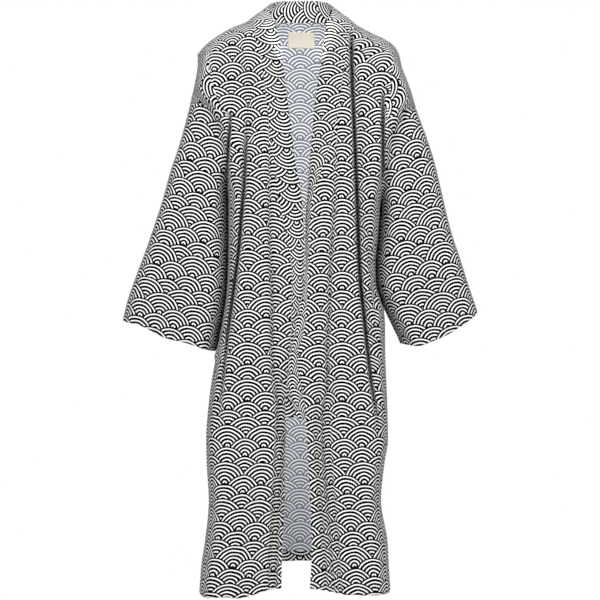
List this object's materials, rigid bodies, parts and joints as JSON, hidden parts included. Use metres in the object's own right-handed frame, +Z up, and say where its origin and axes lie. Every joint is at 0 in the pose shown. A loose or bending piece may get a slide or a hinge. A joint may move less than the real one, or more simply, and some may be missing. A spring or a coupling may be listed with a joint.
{
  "type": "yukata robe",
  "caption": "Cotton yukata robe with a black and white wave-scale print, drop shoulders, wide sleeves, a long doubled collar and overlapping fronts, filled out with no wearer.",
  "frame": {"origin": "the middle of the neck at shoulder level, where the robe is held", "axes": "+Z up, +X towards the wearer's left, front of the robe towards -Y"},
  "size_m": [0.698, 0.2718, 1.1687],
  "materials": {
    "printed_cotton": "printed plain-weave cotton, matt",
    "label_tape": "woven tape, matt"
  },
  "bodies": {
    "root": {"back": "printed_cotton", "right_front": "printed_cotton", "left_front": "printed_cotton", "right_overlap_panel": "printed_cotton", "left_overlap_panel": "printed_cotton", "right_sleeve": "printed_cotton", "left_sleeve": "printed_cotton", "collar": "printed_cotton", "label": "label_tape", "back_turn_up": "printed_cotton"}
  },
  "joints": []
}
